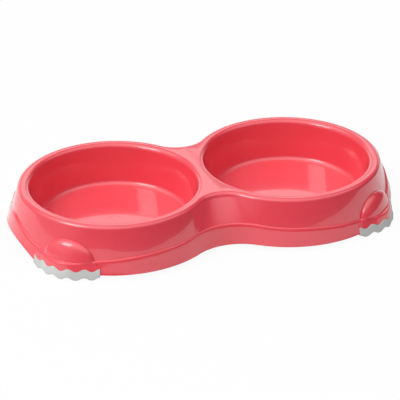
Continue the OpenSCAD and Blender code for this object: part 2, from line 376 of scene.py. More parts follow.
    def lip_z(self, angle: Array) -> Array:
        """Gives the height of the lip.

        Args:
            angle: Angles about the well's centre.

        Returns:
            One height for each angle: it rises at the ends and the waist and dips at the corners.
        """
        begins, ends = self.rise_turns
        rise = self.lip_rise * hump(angle / self.rise_half)
        rise += self.waist_rise * eased((angle - begins) / (ends - begins))
        return self.lip_h + rise - self.lip_drop * hump((angle - self.toe) / self.dip_half)

    def skirt_z(self, angle: Array) -> Array:
        """Gives the height of the skirt's lower edge, an arch at each end."""
        fall = 1.0 - (np.asarray(angle, float) / self.toe_lo) ** self.arch_power
        return self.skirt_gap + self.arch_h * np.maximum(0.0, fall)

    def lip_radius(self, angle: Array, inward: float = 0.0) -> Array:
        """Gives the radius of the lip, or of a line inside it."""
        bulge = self.toe_lip * hump((angle - self.toe) / self.bulge_half)
        return self.plain(self.lip.inset(inward), angle) + bulge

    def skirt_radius(self, angle: Array, inward: float = 0.0) -> Array:
        """Gives the radius of the skirt's lower edge, or of a line inside it."""
        share = hump((angle - self.toe) * 2.0 / self.toe_span)
        return self.plain(self.skirt.inset(inward), angle) + self.toe_skirt * share**self.toe_power

    def side_radius(self, angle: Array, z: Array) -> Array:
        """Gives the radius of the skirt's outside.

        Args:
            angle: Angles about the well's centre.
            z: A height for each angle.

        Returns:
            One radius for each angle.
        """
        lip_z = self.lip_z(angle)
        share = (lip_z - z) / (lip_z - self.skirt_z(angle))
        return mix(self.lip_radius(angle), self.skirt_radius(angle), share)

    def knuckle_reach(self) -> float:
        """Gives how far a knuckle stands out of the wall at its foot.

        Returns:
            The reach that leaves the shelf between the lip's edge and the knuckle.
        """
        middle = np.array([self.toe])
        ledge = self.plain(self.lip.inset(self.ledge), middle)
        return float((self.lip_radius(middle) + self.panel - self.shelf - ledge)[0])

    def knuckle_half(self, inward: float = 0.0) -> float:
        """Gives the angle that half a knuckle spans."""
        return degrees(asin((self.knuckle_w / 2.0 - inward) / self.lip_side))

    def crease_z(self, angle: Array, inward: float = 0.0) -> Array:
        """Gives the height at which a knuckle runs into the wall.

        Args:
            angle: Angles about the well's centre.
            inward: How far inside the outside it is meant.

        Returns:
            One height for each angle, or zero beside the knuckle.
        """
        across = (angle - self.knuckle_angle) / self.knuckle_half(inward)
        top = self.lip_h - self.lip_drop + (self.knuckle_h - inward) * root_of(1.0 - across**2)
        return np.where(np.abs(across) < 1.0, top, 0.0)

    def knuckle(self, angle: Array, z: Array, inward: float = 0.0) -> Array:
        """Gives how far a knuckle stands out of the wall.

        Args:
            angle: Angles about the well's centre.
            z: A height for each angle.
            inward: How far inside the outside it is meant.

        Returns:
            One reach for each angle.
        """
        across = (angle - self.knuckle_angle) / self.knuckle_half(inward)
        up = (z - self.lip_h + self.lip_drop) / (self.knuckle_h - inward)
        left = np.maximum(0.0, 1.0 - across**2 - up**2)
        return self.knuckle_reach() * left**self.knuckle_power

    def zone_z(self, angle: Array, inward: float = 0.0) -> Array:
        """Gives the height that parts the wall's two zones."""
        return np.maximum(self.crease_z(angle, inward), self.lip_z(angle) + self.plain_zone)

    def wall_plan(self, angle: Array, z: Array, inward: float = 0.0) -> Reach:
        """Gives the wall's plain outline.

        Args:
            angle: Angles about the well's centre.
            z: A height for each angle.
            inward: How far inside the outside it is meant.

        Returns:
            The outline, with a reach for each angle.
        """
        lip_z = self.lip_z(angle)
        up = (z - lip_z) / (self.edge_z - lip_z)
        bow = 4.0 * self.wall_bow * up * (1.0 - up)
        return self.lip.inset(self.ledge).mixed(self.rim, up).inset(inward - bow)

    def wall_radius(self, angle: Array, z: Array, inward: float = 0.0) -> Array:
        """Gives the radius of the wall between the ledge and the rim."""
        plain = self.plain(self.wall_plan(angle, z, inward), angle)
        return plain + self.knuckle(angle, z, inward)

    def hollow_share(self, angle: Array) -> Array:
        """Gives how far a foot is into the hollow of a wave.

        Args:
            angle: Angles about the well's centre.

        Returns:
            A share for each angle, from 0 on a crest to 1.
        """
        first, last = self.toe_lo + self.step, self.toe_hi - self.step
        share = (angle - first) / (last - first)
        return (1.0 + np.cos(2.0 * np.pi * self.waves * share)) / 2.0

    def foot_bottom(self, angle: Array) -> Array:
        """Gives the height of a foot's underside."""
        above = (self.hollow_share(angle) - self.land_share) / (1.0 - self.land_share)
        return self.wave_h * np.maximum(0.0, above)

    def foot_top(self, angle: Array) -> Array:
        """Gives the height of a foot band's upper edge."""
        return self.band_h + self.wave_h * self.hollow_share(angle)

    def peg_places(self) -> Array:
        """Gives the places of the two pegs of the foot at +X and +Y."""
        angle = self.toe + self.peg_angle * np.array([-1.0, 1.0])
        return self.place(angle, self.skirt_radius(angle) - self.peg_inset, 0.0)

    def place(self, angle: Array, radius: Array, z: Values) -> Array:
        """Turns polar places about the well at +X into points.

        Args:
            angle: Angles about the well's centre.
            radius: Radii from the well's centre.
            z: Heights, or one height for all.

        Returns:
            An array of points, one row each.
        """
        turn = np.radians(angle)
        flat = np.broadcast_to(np.asarray(z, float), turn.shape)
        return np.stack([self.pitch + radius * np.cos(turn), radius * np.sin(turn), flat], axis=1)


@dataclass
class Skin:
    """Points and faces of a mesh that is still being put together, in millimetres.

    Attributes:
        points: Rows of points, in the order in which they were added.
        faces: The faces, each as the numbers of its corners.
        count: Number of points so far.
    """

    points: list[Array] = field(default_factory=list)
    faces: list[tuple[int, ...]] = field(default_factory=list)
    count: int = 0

    def add(self, row: Array) -> Array:
        """Adds a row of points.

        Args:
            row: The points, one row each.

        Returns:
            Their numbers.
        """
        first = self.count
        self.points.append(np.asarray(row, float))
        self.count += len(row)
        return np.arange(first, self.count)

    def band(self, low: Array, high: Array, closed: bool = False) -> None:
        """Adds the faces between two rows with as many points each.

        Args:
            low: Numbers of the first row's points.
            high: Numbers of the second row's points.
            closed: Whether the last point joins the first.
        """
        n = len(low)
        for j in range(n if closed else n - 1):
            k = (j + 1) % n
            self.faces.append((int(low[j]), int(low[k]), int(high[k]), int(high[j])))

    def strip(self, rows: list[Array], closed: bool = False) -> list[Array]:
        """Adds rows of points with the faces between them.

        Args:
            rows: The rows, with as many points each.
            closed: Whether the last point of a row joins the first.

        Returns:
            The numbers of each row's points.
        """
        numbers = [self.add(row) for row in rows]
        for low, high in zip(numbers, numbers[1:]):
            self.band(low, high, closed)
        return numbers

    def cap(self, row: Array, centre: Array) -> None:
        """Closes a row of points with a fan round one more point.

        Args:
            row: Numbers of the row's points, in order round the fan.
            centre: The point in the middle.
        """
        middle = int(self.add(np.array([centre]))[0])
        for a, b in zip(row, row[1:]):
            self.faces.append((int(a), int(b), middle))

    def tube(self, axis: Array, section: Section, spacing: float = 15.0) -> None:
        """Adds an upright round body, closed at both ends.

        Args:
            axis: A point on its axis.
            section: Radius and height of each of its rings, in order.
            spacing: Angle between its samples, in degrees.
        """
        around = np.radians(np.arange(0.0, 360.0, spacing))
        x, y = axis[:2]
        rows = [
            np.stack([x + r * np.cos(around), y + r * np.sin(around), np.full(len(around), z)], axis=1)
            for r, z in section
        ]
        numbers = self.strip(rows, closed=True)
        for end in (0, -1):
            row = numbers[end]
            self.cap(np.append(row, row[0]), np.array([x, y, section[end][1]]))

    def join(self, other: "Skin") -> None:
        """Adds all of another skin.

        Args:
            other: The skin that is added.
        """
        start = self.count
        self.add(np.concatenate(other.points))
        self.faces += [tuple(start + i for i in face) for face in other.faces]

    def mirrored(self, sides: tuple[tuple[int, int], ...]) -> "Skin":
        """Gives copies of the skin mirrored in the bowl's two upright planes.

        Args:
            sides: A sign in x and a sign in y for each copy.

        Returns:
            One skin with all the copies.
        """
        whole = Skin()
        all_points = np.concatenate(self.points)
        for sx, sy in sides:
            start = whole.count
            whole.add(all_points * np.array([sx, sy, 1.0]))
            turned = sx * sy < 0
            for face in self.faces:
                order = face[::-1] if turned else face
                whole.faces.append(tuple(start + i for i in order))
        return whole

    def build(self, name: str, sharp: float, weld: float = 0.0005) -> bpy.types.Object:
        """Makes the skin into a smooth-shaded object with its true edges kept crisp.

        Args:
            name: The object's name.
            sharp: Angle in degrees above which an edge is shaded sharp.
            weld: Distance in millimetres under which points are joined.

        Returns:
            The new object.
        """
        mesh = bpy.data.meshes.new(name)
        whole = np.concatenate(self.points) * MM
        mesh.from_pydata(whole.tolist(), [], self.faces)
        work = bmesh.new()
        work.from_mesh(mesh)
        bmesh.ops.remove_doubles(work, verts=work.verts, dist=weld * MM)
        bmesh.ops.dissolve_degenerate(work, edges=work.edges, dist=weld * MM)
        bmesh.ops.recalc_face_normals(work, faces=work.faces)
        work.to_mesh(mesh)
        work.free()
        mesh.shade_smooth()
        mesh.set_sharp_from_angle(angle=radians(sharp))
        made = bpy.data.objects.new(name, mesh)
        bpy.context.scene.collection.objects.link(made)
        return made


class Ramp(Enum):
    """How a noise is spread over its range before it is used."""

    SOFT = (0.3, 0.7)
    SPARSE = (0.62, 0.72)


@dataclass(frozen=True)
class Finish:
    """A moulded finish: its colour, how it varies, and its fine relief.

    Attributes:
        name: Name of the material.
        colour: Base colour, linear.
        shade: Colour that the mottling drifts to, linear.
        mottle_size: Noise scale of the colour's drift, per metre.
        sheen_size: Noise scale of the roughness's drift, per metre.
        roughness: Lowest and highest roughness.
        grain_size: Noise scale of the fine relief, per metre.
        grain_depth: Depth of the fine relief, in metres.
        ripple_size: Noise scale of the broad flow relief, per metre.
        ripple_depth: Depth of the flow relief, in metres.
        scuff_size: Noise scale of the small scuffs, per metre.
        scuff_rise: Roughness that a scuff adds.
        coat: Weight of the clear glossy skin.
        coat_roughness: Roughness of that skin.
        ior: Index of refraction.
    """

    name: str
    colour: tuple[float, float, float]
    shade: tuple[float, float, float]
    mottle_size: float
    sheen_size: float
    roughness: tuple[float, float]
    grain_size: float
    grain_depth: float
    ripple_size: float
    ripple_depth: float
    scuff_size: float
    scuff_rise: float
    coat: float
    coat_roughness: float
    ior: float

    def _noise(self, tree: Tree, size: float, detail: float) -> Socket:
        """Adds a noise on the object's own coordinates.

        Args:
            tree: The material's node tree.
            size: The noise's scale, per metre.
            detail: How many finer layers it has.

        Returns:
            The noise's value.
        """
        where = tree.nodes.new("ShaderNodeTexCoord")
        noise = tree.nodes.new("ShaderNodeTexNoise")
        noise.inputs["Scale"].default_value = size
        noise.inputs["Detail"].default_value = detail
        tree.links.new(where.outputs["Object"], noise.inputs["Vector"])
        return noise.outputs["Fac"]

    def _spread(self, tree: Tree, value: Socket, ramp: Ramp, low: float, high: float) -> Socket:
        """Spreads a noise between two values.

        Args:
            tree: The material's node tree.
            value: The noise's value.
            ramp: Part of the noise's range that is used.
            low: Value at the range's low end.
            high: Value at the range's high end.

        Returns:
            The spread value.
        """
        spread = tree.nodes.new("ShaderNodeMapRange")
        spread.inputs["From Min"].default_value = ramp.value[0]
        spread.inputs["From Max"].default_value = ramp.value[1]
        spread.inputs["To Min"].default_value = low
        spread.inputs["To Max"].default_value = high
        tree.links.new(value, spread.inputs["Value"])
        return spread.outputs["Result"]

    def _relief(self, tree: Tree, value: Socket, depth: float, under: Socket | None) -> Socket:
        """Adds a bump of a real depth over another one.

        Args:
            tree: The material's node tree.
            value: The relief's height.
            depth: Depth of the relief, in metres.
            under: The normal that the relief lies on, if any.

        Returns:
            The new normal.
        """
        bump = tree.nodes.new("ShaderNodeBump")
        bump.inputs["Distance"].default_value = depth
        bump.inputs["Strength"].default_value = 1.0
        tree.links.new(value, bump.inputs["Height"])
        if under is not None:
            tree.links.new(under, bump.inputs["Normal"])
        return bump.outputs["Normal"]

    def material(self) -> bpy.types.Material:
        """Builds the finish as a material.

        Returns:
            The new material.
        """
        made = bpy.data.materials.new(self.name)
        made.use_nodes = True
        tree = made.node_tree
        shader = tree.nodes["Principled BSDF"]
        shader.inputs["IOR"].default_value = self.ior
        shader.inputs["Coat Weight"].default_value = self.coat
        shader.inputs["Coat Roughness"].default_value = self.coat_roughness

        mottle = self._noise(tree, self.mottle_size, detail=3.0)
        blend = tree.nodes.new("ShaderNodeMix")
        blend.data_type = "RGBA"
        blend.inputs["A"].default_value = (*self.colour, 1.0)
        blend.inputs["B"].default_value = (*self.shade, 1.0)
        tree.links.new(self._spread(tree, mottle, Ramp.SOFT, 0.0, 1.0), blend.inputs["Factor"])
        tree.links.new(blend.outputs["Result"], shader.inputs["Base Color"])

        sheen = self._noise(tree, self.sheen_size, detail=4.0)
        scuff = self._noise(tree, self.scuff_size, detail=8.0)
        even = self._spread(tree, sheen, Ramp.SOFT, *self.roughness)
        scuffed = self._spread(tree, scuff, Ramp.SPARSE, 0.0, self.scuff_rise)
        tree.links.new(joined(tree, Joining.SUM, even, scuffed), shader.inputs["Roughness"])

        flow = self._noise(tree, self.ripple_size, detail=1.0)
        fine = self._noise(tree, self.grain_size, detail=6.0)
        ripple = self._relief(tree, flow, self.ripple_depth, None)
        grain = self._relief(tree, fine, self.grain_depth, ripple)
        tree.links.new(grain, shader.inputs["Normal"])
        tree.links.new(ripple, shader.inputs["Coat Normal"])
        return made


CORAL_GLOSS = Finish(
    name="coral_gloss_plastic",
    colour=(0.95, 0.08, 0.112),
    shade=(0.92, 0.073, 0.104),
    mottle_size=22.0,
    sheen_size=88.0,
    roughness=(0.16, 0.22),
    grain_size=2600.0,
    grain_depth=0.000004,
    ripple_size=70.0,
    ripple_depth=0.00001,
    scuff_size=380.0,
    scuff_rise=0.08,
    coat=1.0,
    coat_roughness=0.03,
    ior=1.5,
)
SOFT_GREY = Finish(
    name="soft_grey_rubber",
    colour=(0.66, 0.67, 0.66),
    shade=(0.57, 0.58, 0.57),
    mottle_size=60.0,
    sheen_size=240.0,
    roughness=(0.5, 0.62),
    grain_size=3200.0,
    grain_depth=0.00003,
    ripple_size=260.0,
    ripple_depth=0.00003,
    scuff_size=700.0,
    scuff_rise=0.1,
    coat=0.0,
    coat_roughness=0.3,
    ior=1.45,
)


class Zone(Enum):
    """The two zones of the wall, one over the other."""

    FOOT = "foot"
    FACE = "face"

    def height(self, share: float, lip: Values, parting: Values, edge: float) -> Values:
        """Gives a height in the zone.

        Args:
            share: Share of the way up the zone.
            lip: Height at which the lower zone begins.
            parting: Height that parts the two zones.
            edge: Height at which the upper zone ends.

        Returns:
            The height, or one for each sample.
        """
        return mix(lip, parting, share) if self is Zone.FOOT else mix(parting, edge, share)


@dataclass
class Shell:
    """The moulded shell: skirt, lip, wall, knuckles, rolled rim, both wells and the hollow under it.

    Attributes:
        form: The sizes and outlines it follows.
        finish: The plastic it is moulded in.
        corner_step: Spacing of the samples at a corner, in degrees.
        plain_step: Spacing of the samples elsewhere, in degrees.
        edge_step: Angle over which a panel's edge steps out.
        knuckle_turns: Turns along a knuckle's outline at which its steep ends are sampled.
        skirt_round: Rounding of the skirt's lower edge.
        row_gap: Distance between the two rows beside a panel that meet in the recess's roof.
        inner_round: Fillet in the corner between the ledge and the wall.
        boss_round: Rounding of the sockets' mouths.
        foot_rows: Number of rows up the wall's lower zone.
        face_rows: Number of rows up the wall's upper zone.
        hollow_foot: Shares of the lower zone at which the hollow has rows, downwards.
        hollow_face: Shares of the upper zone at which the hollow has rows, downwards.
        roll_steps: Number of rows on each side of the rim's roll.
        bridge_steps: Number of samples between the waist and the bowl's middle.
        draft_steps: Number of rings down a well's wall.
        fillet_steps: Number of rings round the corner of a well's floor.
        cup_steps: Number of rings round that corner underneath.
        floor_radii: Radii of the rings on a well's floor.
        cup_radii: Radii of the rings underneath it.
        mark_margin: How far outside the mark the last ring on the floor lies.
        mark_insets: How far inside the mark's edge the rings in it lie.
        sharp: Angle in degrees above which an edge is shaded sharp.
        name: Name of the piece.
    """

    form: BowlForm
    finish: Finish
    corner_step: float = 0.35
    plain_step: float = 1.0
    edge_step: float = 0.12
    knuckle_turns: tuple[float, ...] = (0.8, 3.0, 6.0, 10.0, 15.0, 21.0)
    skirt_round: float = 0.5
    row_gap: float = 0.4
    inner_round: float = 0.25
    boss_round: float = 0.3
    foot_rows: int = 13
    face_rows: int = 15
    hollow_foot: tuple[float, ...] = (1.0, 0.95, 0.8, 0.5)
    hollow_face: tuple[float, ...] = (1.0, 0.66, 0.33)
    roll_steps: int = 13
    bridge_steps: int = 61
    draft_steps: int = 9
    fillet_steps: int = 13
    cup_steps: int = 9
    floor_radii: tuple[float, ...] = (58.0, 48.0, 36.0, 24.0, 14.0)
    cup_radii: tuple[float, ...] = (40.0, 14.0)
    mark_margin: float = 0.4
    mark_insets: tuple[float, ...] = (0.15, 0.5, 2.75)
    sharp: float = 32.0
    name: str = "shell_moulding"

    def lip_angles(self) -> Array:
        """Gives the angles of one quarter's samples along the lip.

        Returns:
            The angles, which are closer at the corner and at the knuckle's steep ends.
        """
        f = self.form
        lo, hi = f.toe_lo + f.taper, f.toe_hi - f.taper
        last = f.lip.last_angle()
        side = round((f.waist_angle - hi) / self.plain_step)
        waist = round((last - f.waist_angle) / self.plain_step)
        steep = f.knuckle_half() * np.cos(np.radians(self.knuckle_turns))
        parts = [
            np.linspace(0.0, lo + f.step - self.edge_step, round(lo / self.plain_step) + 1),
            np.linspace(lo + f.step, hi - f.step, round((hi - lo) / self.corner_step)),
            np.linspace(hi - f.step + self.edge_step, f.waist_angle, side),
            np.linspace(f.waist_angle, last, waist + 1)[1:],
            f.knuckle_angle + steep,
            f.knuckle_angle - steep,
        ]
        return np.unique(np.round(np.concatenate(parts), 6))

    def angles(self, taper: float, plan: Reach) -> Array:
        """Gives a ring's angles, which follow the panel's slanting edges and end at the waist.

        Args:
            taper: How much narrower than its foot the panel is on each side, in degrees.
            plan: Outline of the ring, whose last angle lies between the wells.

        Returns:
            As many angles for every ring.
        """
        f = self.form
        marks = [0.0, f.toe_lo + f.taper, f.toe_hi - f.taper, f.waist_angle, f.lip.last_angle()]
        moved = [0.0, f.toe_lo + taper, f.toe_hi - taper, f.waist_angle, plan.last_angle()]
        return np.interp(self.lip_angles(), marks, moved)

    def on_panel(self, angle: Array, taper: float) -> Array:
        """Tells which samples lie on the corner's panel.

        Args:
            angle: The samples' angles.
            taper: How much narrower than its foot the panel is on each side, in degrees.

        Returns:
            One truth for each sample.
        """
        f = self.form
        half = f.toe_span / 2.0 - taper - f.step + self.edge_step / 2.0
        return np.abs(angle - f.toe) < half

    def seam_z(self, angle: Array, held: Array) -> Array:
        """Gives the height of a recess's roof, and of the row that carries it on beside the panel.

        Args:
            angle: The samples' angles.
            held: Which samples lie on the panel.

        Returns:
            One height for each sample.
        """
        f = self.form
        beside = mix(f.skirt_z(angle), f.lip_z(angle), f.seam_share)
        return np.where(held, f.foot_top(angle) + f.fit, beside)

    def skirt_rows(self) -> list[Array]:
        """Gives the rows of the skirt's outside.

        Returns:
            The rows from its lower edge up to the lip.
        """
        f = self.form
        a = self.angles(0.0, f.skirt)
        held = self.on_panel(a, 0.0)
        low, top = f.skirt_z(a), self.seam_z(a, held)
        inner = np.where(held, top, top - self.row_gap)
        proud = np.where(held, f.panel, 0.0)
        out = proud - np.where(held, f.band_t + f.fit, 0.0)
        edge, bend = f.skirt_radius(a) + out, self.skirt_round
        rows = [
            f.place(a, edge - bend * (1.0 - sin(t)), low + bend * (1.0 - cos(t)))
            for t in QUARTER_TURN
        ]
        for share in (*SIDE_SHARES, 1.0):
            z = mix(low + bend, inner, share)
            rows.append(f.place(a, f.side_radius(a, z) + out, z))
        rows.append(f.place(a, f.side_radius(a, top) + proud, top))
        for share in (0.25, 0.5, 0.75, 1.0):
            b = self.angles(f.taper * share, f.skirt.mixed(f.lip, share))
            held = self.on_panel(b, f.taper * share)
            z = mix(self.seam_z(b, held), f.lip_z(b) - f.lip_round, share)
            rows.append(f.place(b, f.side_radius(b, z) + np.where(held, f.panel, 0.0), z))
        return rows

    def lip_rows(self) -> list[Array]:
        """Gives the rows of the lip.

        Returns:
            The rows round its edge, along its ledge and into the corner above it.
        """
        f = self.form
        a = self.angles(f.taper, f.lip)
        edge = f.lip_radius(a) + np.where(self.on_panel(a, f.taper), f.panel, 0.0)
        level, bend = f.lip_z(a), f.lip_round
        rows = [
            f.place(a, edge - bend * (1.0 - cos(t)), level - bend * (1.0 - sin(t)))
            for t in FINE_TURN[1:]
        ]
        b = self.angles(f.taper, f.lip.inset(f.ledge))
        for t in QUARTER_TURN[:-1]:
            z = f.lip_z(b) + self.inner_round * (1.0 - cos(t))
            rows.append(f.place(b, f.wall_radius(b, z) + self.inner_round * (1.0 - sin(t)), z))
        return rows

    def wall_rows(self) -> list[Array]:
        """Gives the rows of the wall's outside.

        Returns:
            The rows from the ledge, over the knuckles and up to the rim.
        """
        rises = np.sin(np.radians(np.linspace(0.0, 90.0, self.foot_rows)))
        rows = [self.wall_row(Zone.FOOT, share) for share in rises]
        shares = np.linspace(0.0, 1.0, self.face_rows)[1:]
        return rows + [self.wall_row(Zone.FACE, share) for share in shares]

    def wall_row(self, zone: Zone, share: float, inward: float = 0.0) -> Array:
        """Gives one row of the wall.

        Args:
            zone: The zone in which it lies.
            share: Share of the way up that zone.
            inward: Zero for the wall's outside, or its thickness for the hollow.

        Returns:
            The row's points.
        """
        f = self.form
        taper, lift = (0.0, 0.0) if inward else (f.taper, self.inner_round)
        level = zone.height(share, f.lip_h + lift, f.lip_h + f.plain_zone, f.edge_z)
        a = self.angles(taper, self.level_plan(level, inward))
        z = zone.height(share, f.lip_z(a) + lift, f.zone_z(a, inward), f.edge_z)
        return f.place(a, f.wall_radius(a, z, inward), z)

    def level_plan(self, z: float, inward: float) -> Reach:
        """Gives the wall's outline at one height, as it is at the waist.

        Args:
            z: The height.
            inward: How far inside the outside it is meant.

        Returns:
            The outline.
        """
        f = self.form
        waist = f.wall_plan(np.array([f.waist_angle]), np.array([z]), inward)
        return Reach(float(waist.end[0]), float(waist.side[0]), float(waist.waist[0]), f.pitch)

    def roll_rows(self) -> list[Array]:
        """Gives the rows of the rim's outer rounding.

        Returns:
            The rows up to the crown.
        """
        f = self.form
        rows = []
        for share in np.linspace(0.0, 1.0, self.roll_steps)[1:]:
            drawn_in, risen = f.roll(f.roll_w, f.roll_h, share)
            plan = f.rim.inset(drawn_in)
            a = self.angles(f.taper, plan)
            rows.append(f.place(a, f.plain(plan, a), f.edge_z + risen))
        return rows

    def hollow_rows(self) -> list[Array]:
        """Gives the rows of the hollow.

        Returns:
            The rows from its roof down to the skirt's lower edge.
        """
        f = self.form
        rows = [self.wall_row(Zone.FACE, share, f.wall) for share in self.hollow_face]
        rows += [self.wall_row(Zone.FOOT, share, f.wall) for share in self.hollow_foot]
        a = self.angles(0.0, self.level_plan(f.lip_h, f.wall))
        rows.append(f.place(a, f.wall_radius(a, f.lip_z(a), f.wall), f.lip_z(a) - f.wall))
        b = self.angles(0.0, f.lip.inset(f.wall))
        rows.append(f.place(b, f.lip_radius(b, f.wall), f.lip_z(b) - f.wall - f.lip_round))
        c = self.angles(0.0, f.skirt.inset(f.wall))
        rows.append(f.place(c, f.skirt_radius(c, f.wall), f.skirt_z(c)))
        return rows

    def floor_corner(self, radius: float, steps: int) -> Section:
        """Gives the round corner between a well's wall and its floor.

        Args:
            radius: Radius of the rounding, about the centre of the floor's fillet.
            steps: Number of its rings.

        Returns:
            Its half section, from the wall in.
        """
        f = self.form
        lean = atan(f.well_draft / (f.well_top - f.floor_z))
        mid_r, mid_z = f.floor_r - f.floor_fillet, f.floor_z + f.floor_fillet
        turns = np.linspace(np.pi / 2.0 - lean, 0.0, steps)
        return [(mid_r + radius * sin(t), mid_z - radius * cos(t)) for t in turns]

    def well_section(self) -> Section:
        """Gives a well's half section as radius and height.

        Returns:
            The rings from the crown in to the moulding mark.
        """
        f = self.form
        shares = np.linspace(1.0, 0.0, self.roll_steps)
        roll = [f.roll(f.inner_roll_w, f.inner_roll_h, share) for share in shares]
        section = [(f.well_r + drawn_in, f.well_top + risen) for drawn_in, risen in roll]
        corner = self.floor_corner(f.floor_fillet, self.fillet_steps)
        low_r, low_z = corner[0]
        shares = np.linspace(0.0, 1.0, self.draft_steps)[1:-1]
        section += [(mix(f.well_r, low_r, share), mix(f.well_top, low_z, share)) for share in shares]
        section += corner
        radii = (*self.floor_radii, f.mark_r + self.mark_margin, f.mark_r)
        section += [(radius, f.floor_z) for radius in radii]
        section += [(f.mark_r - inset, f.floor_z - f.mark_depth) for inset in self.mark_insets]
        return section

    def cup_section(self) -> Section:
        """Gives the half section of a well's underside as radius and height.

        Returns:
            The rings from the roof of the hollow in to the middle.
        """
        f = self.form
        outer = f.well_r + f.wall
        corner = self.floor_corner(f.floor_fillet + f.wall, self.cup_steps)
        floor = [(radius, f.floor_z - f.wall) for radius in self.cup_radii]
        return [(outer, f.edge_z), (outer, f.well_top)] + corner + floor

    def quarter(self) -> Skin:
        """Puts together the shell's quarter at +X and +Y.

        Returns:
            The quarter, open on the bowl's two upright planes.
        """
        f = self.form
        skin = Skin()
        outside = self.skirt_rows() + self.lip_rows() + self.wall_rows() + self.roll_rows()
        rows = self.hollow_rows() + outside
        for row in rows:
            row[-1, 0] = 0.0
            row[0, 1] = 0.0
        numbers = skin.strip(rows)
        crown, roof = f.rim.inset(f.roll_w), self.level_plan(f.edge_z, f.wall)
        self.sink(skin, numbers[-1], crown, f.taper, f.height, self.well_section())
        self.sink(skin, numbers[0], roof, 0.0, f.edge_z, self.cup_section())
        return skin

    def sink(
        self, skin: Skin, edge: Array, plan: Reach, taper: float, z: float, section: Section
    ) -> None:
        """Lays a level deck in from a row, and sinks half a well into it.

        Args:
            skin: The skin that it is added to.
            edge: Numbers of the row's points.
            plan: Outline of the row.
            taper: Taper of the row's angles.
            z: Height of the deck.
            section: The well's half section as radius and height, from the deck in.
        """
        beyond = np.linspace(plan.last_angle(), 180.0, self.bridge_steps)[1:]
        deck = np.concatenate([edge, skin.add(self.bridge_row(beyond, z))])
        ring = np.concatenate([self.angles(taper, plan), beyond])
        numbers = skin.strip([self.ring_row(ring, radius, level) for radius, level in section])
        skin.band(deck, numbers[0])
        skin.cap(numbers[-1], np.array([self.form.pitch, 0.0, section[-1][1]]))

    def bridge_row(self, angle: Array, z: float) -> Array:
        """Gives the points between the wells.

        Args:
            angle: Their angles about the well's centre, from the waist to the long axis.
            z: Their height.

        Returns:
            The points, all on the plane between the wells.
        """
        f = self.form
        row = f.place(angle, f.pitch / np.abs(np.cos(np.radians(angle))), z)
        row[:, 0] = 0.0
        row[-1, 1] = 0.0
        return row

    def ring_row(self, ring: Array, radius: float, z: float) -> Array:
        """Gives half a circle about the well.

        Args:
            ring: The samples' angles.
            radius: The circle's radius.
            z: Its height.

        Returns:
            The points, with the first and the last on the bowl's long axis.
        """
        row = self.form.place(ring, np.full(len(ring), radius), z)
        row[0, 1] = 0.0
        row[-1, 1] = 0.0
        return row

    def bosses(self) -> Skin:
        """Puts together the two socket bosses of the corner at +X and +Y.

        Returns:
            Their skin.
        """
        f = self.form
        hole = f.peg_d / 2.0 + f.fit
        outer, mouth, bend = hole + f.boss_wall, f.skirt_gap, self.boss_round
        section = [
            (hole, f.peg_top + f.fit),
            (hole, mouth + bend),
            (hole + bend, mouth),
            (outer - bend, mouth),
            (outer, mouth + bend),
            (outer, f.peg_top + f.wall),
        ]
        skin = Skin()
        for axis in f.peg_places():
            skin.tube(axis, section)
        return skin

    def build(self) -> bpy.types.Object:
        """Builds the shell, dresses it and puts it in the place of its solid.

        Returns:
            The finished piece.
        """
        sides = ((1, 1), (-1, 1), (1, -1), (-1, -1))
        whole = self.quarter().mirrored(sides)
        whole.join(self.bosses().mirrored(sides))
        made = whole.build(self.name, self.sharp)
        made.data.materials.append(self.finish.material())
        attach(made, ROOT)
        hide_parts("bowl_shell")
        return made


